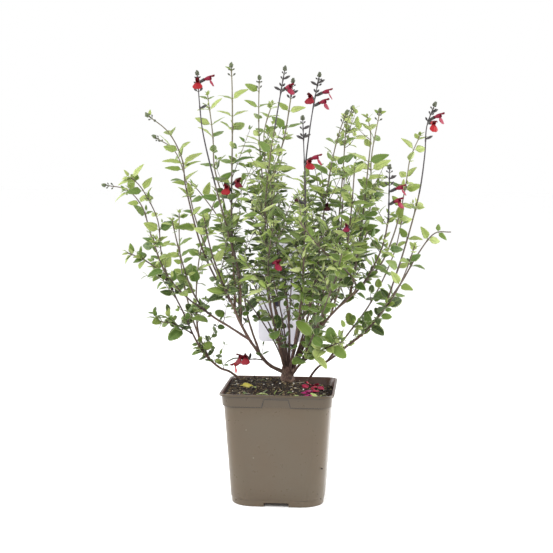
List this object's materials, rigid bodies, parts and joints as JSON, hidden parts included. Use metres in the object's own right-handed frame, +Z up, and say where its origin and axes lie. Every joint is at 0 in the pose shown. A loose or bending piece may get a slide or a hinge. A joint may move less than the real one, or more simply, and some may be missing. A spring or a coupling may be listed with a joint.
{
  "type": "potted perennial salvia",
  "caption": "Bushy perennial sage with small paired leaves and crimson two-lipped flowers, standing in a tapered square nursery pot of peat with a plain plant label.",
  "frame": {"origin": "centre of the pot's foot, on the plane it stands on", "axes": "+Z up, -Y the side of the pot that faces the viewer, +X to the viewer's right"},
  "size_m": [0.546, 0.3707, 0.6569],
  "materials": {
    "pot_plastic": "taupe moulded polypropylene, matt with light scuffs",
    "peat": "damp brown peat with bark crumbs and white perlite",
    "label_plastic": "smooth white plastic sheet, plain marks only",
    "bark": "thin grey-brown bark, slightly flaking",
    "leaf_green": "soft matt leaf, yellow-green when young and darker below, paler underneath",
    "dark_calyx": "dark purple-green ribbed calyx, finely hairy",
    "petal": "velvety crimson petal",
    "yellow_leaf": "dry yellow leaf"
  },
  "bodies": {
    "root": {"pot": "pot_plastic", "soil": "peat", "label": "label_plastic", "wood_main": "bark", "wood_left": "bark", "wood_right": "bark", "fallen_leaf": "yellow_leaf", "fallen_petals": "petal", "flower_centre_flowering_1": "petal", "flower_centre_flowering_2": "petal", "flower_centre_flowering_3": "petal", "flower_centre_front_1": "petal", "flower_far_right_1": "petal", "flower_front_centre_1": "petal", "flower_front_dark_1": "petal", "flower_front_dark_2": "petal", "flower_left_flowering_1": "petal", "flower_left_flowering_2": "petal", "flower_left_tall_1": "petal", "flower_left_tall_2": "petal", "flower_low_bloom_1": "petal", "flower_right_fork_1": "petal", "flower_right_fork_2": "petal", "raceme_centre_flowering": "dark_calyx", "raceme_centre_front": "dark_calyx", "raceme_centre_upright": "dark_calyx", "raceme_far_right": "dark_calyx", "raceme_front_dark": "dark_calyx", "raceme_left_flowering": "dark_calyx", "raceme_right_fork": "dark_calyx", "shoot_back_left": "leaf_green", "shoot_centre_back": "leaf_green", "shoot_centre_flowering": "leaf_green", "shoot_centre_front": "leaf_green", "shoot_centre_mid": "leaf_green", "shoot_centre_upright": "leaf_green", "shoot_far_left": "leaf_green", "shoot_far_right": "leaf_green", "shoot_front_centre": "leaf_green", "shoot_front_dark": "leaf_green", "shoot_front_left": "leaf_green", "shoot_front_low": "leaf_green", "shoot_front_pale": "leaf_green", "shoot_left_back": "leaf_green", "shoot_left_flowering": "leaf_green", "shoot_left_front_low": "leaf_green", "shoot_left_low_back": "leaf_green", "shoot_left_pair": "leaf_green", "shoot_left_rear": "leaf_green", "shoot_left_tall": "leaf_green", "shoot_low_bloom": "leaf_green", "shoot_rear": "leaf_green", "shoot_right_back": "leaf_green", "shoot_right_back_tall": "leaf_green", "shoot_right_fork": "leaf_green", "shoot_right_front": "leaf_green", "shoot_right_front_short": "leaf_green", "shoot_right_mid": "leaf_green", "shoot_right_short": "leaf_green", "shoot_right_twin": "leaf_green"}
  },
  "joints": []
}
